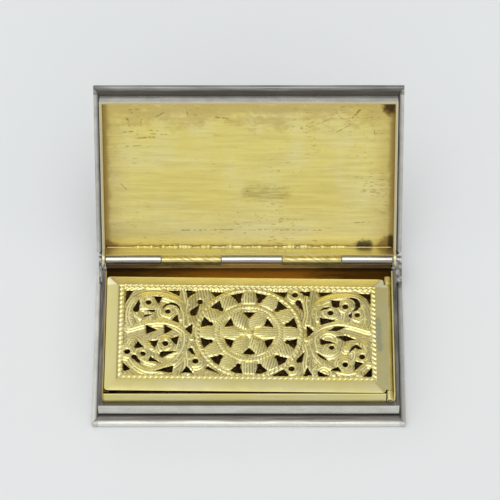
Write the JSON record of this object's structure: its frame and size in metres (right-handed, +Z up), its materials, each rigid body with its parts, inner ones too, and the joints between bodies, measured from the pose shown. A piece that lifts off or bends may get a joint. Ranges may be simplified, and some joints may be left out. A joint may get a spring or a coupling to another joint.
{
  "type": "vinaigrette box",
  "caption": "Slim silver scent box with a hinged lid, moulded edges and a gilt inside, where a hinged, pierced and engraved gilt grille covers a sponge",
  "frame": {"origin": "middle of the underside, on the surface the box stands on", "axes": "+X to the right along the hinge as seen from the front, +Y from the front to the hinge at the back, +Z up"},
  "size_m": [0.036, 0.0342, 0.0205],
  "materials": {
    "silver": "worn soft polish with tarnish in the corners",
    "silver_gilt_inside": "worn silver outside, brushed and patinated gilding inside",
    "gilt": "pale yellow gilding, polished on the high places",
    "sponge": "dark dry sponge"
  },
  "bodies": {
    "base": {"bottom_plate": "silver_gilt_inside", "base_wall": "silver", "base_back_strip": "silver_gilt_inside", "base_moulding_front": "silver", "base_moulding_left": "silver", "base_moulding_right": "silver", "base_moulding_back": "silver", "bezel": "gilt", "base_knuckle_left": "silver", "base_knuckle_middle": "silver", "base_knuckle_right": "silver", "base_arm_left": "silver", "base_arm_right": "silver", "hinge_pin": "silver", "grille_hinge_front": "gilt", "grille_hinge_back": "gilt", "grille_pin": "silver", "grille_rest": "gilt", "sponge": "sponge"},
    "lid": {"top_plate": "silver_gilt_inside", "lid_wall": "silver_gilt_inside", "lid_back_strip": "silver_gilt_inside", "lid_moulding_front": "silver", "lid_moulding_left": "silver", "lid_moulding_right": "silver", "lid_moulding_back": "silver", "lid_knuckle_left": "gilt", "lid_knuckle_right": "gilt"},
    "grille": {"grille_plate": "gilt", "grille_knuckle": "gilt"}
  },
  "joints": [
    {"name": "lid_hinge", "type": "hinge", "parent": "base", "child": "lid", "pos_m": [0, 0.01039, 0.00305], "axis": [1, 0, 0], "range_deg": [0, 120]},
    {"name": "grille_hinge", "type": "hinge", "parent": "base", "child": "grille", "pos_m": [0.01617, -0.00067, 0.00334], "axis": [0, 1, 0], "range_deg": [-1.15, 1.25]}
  ]
}
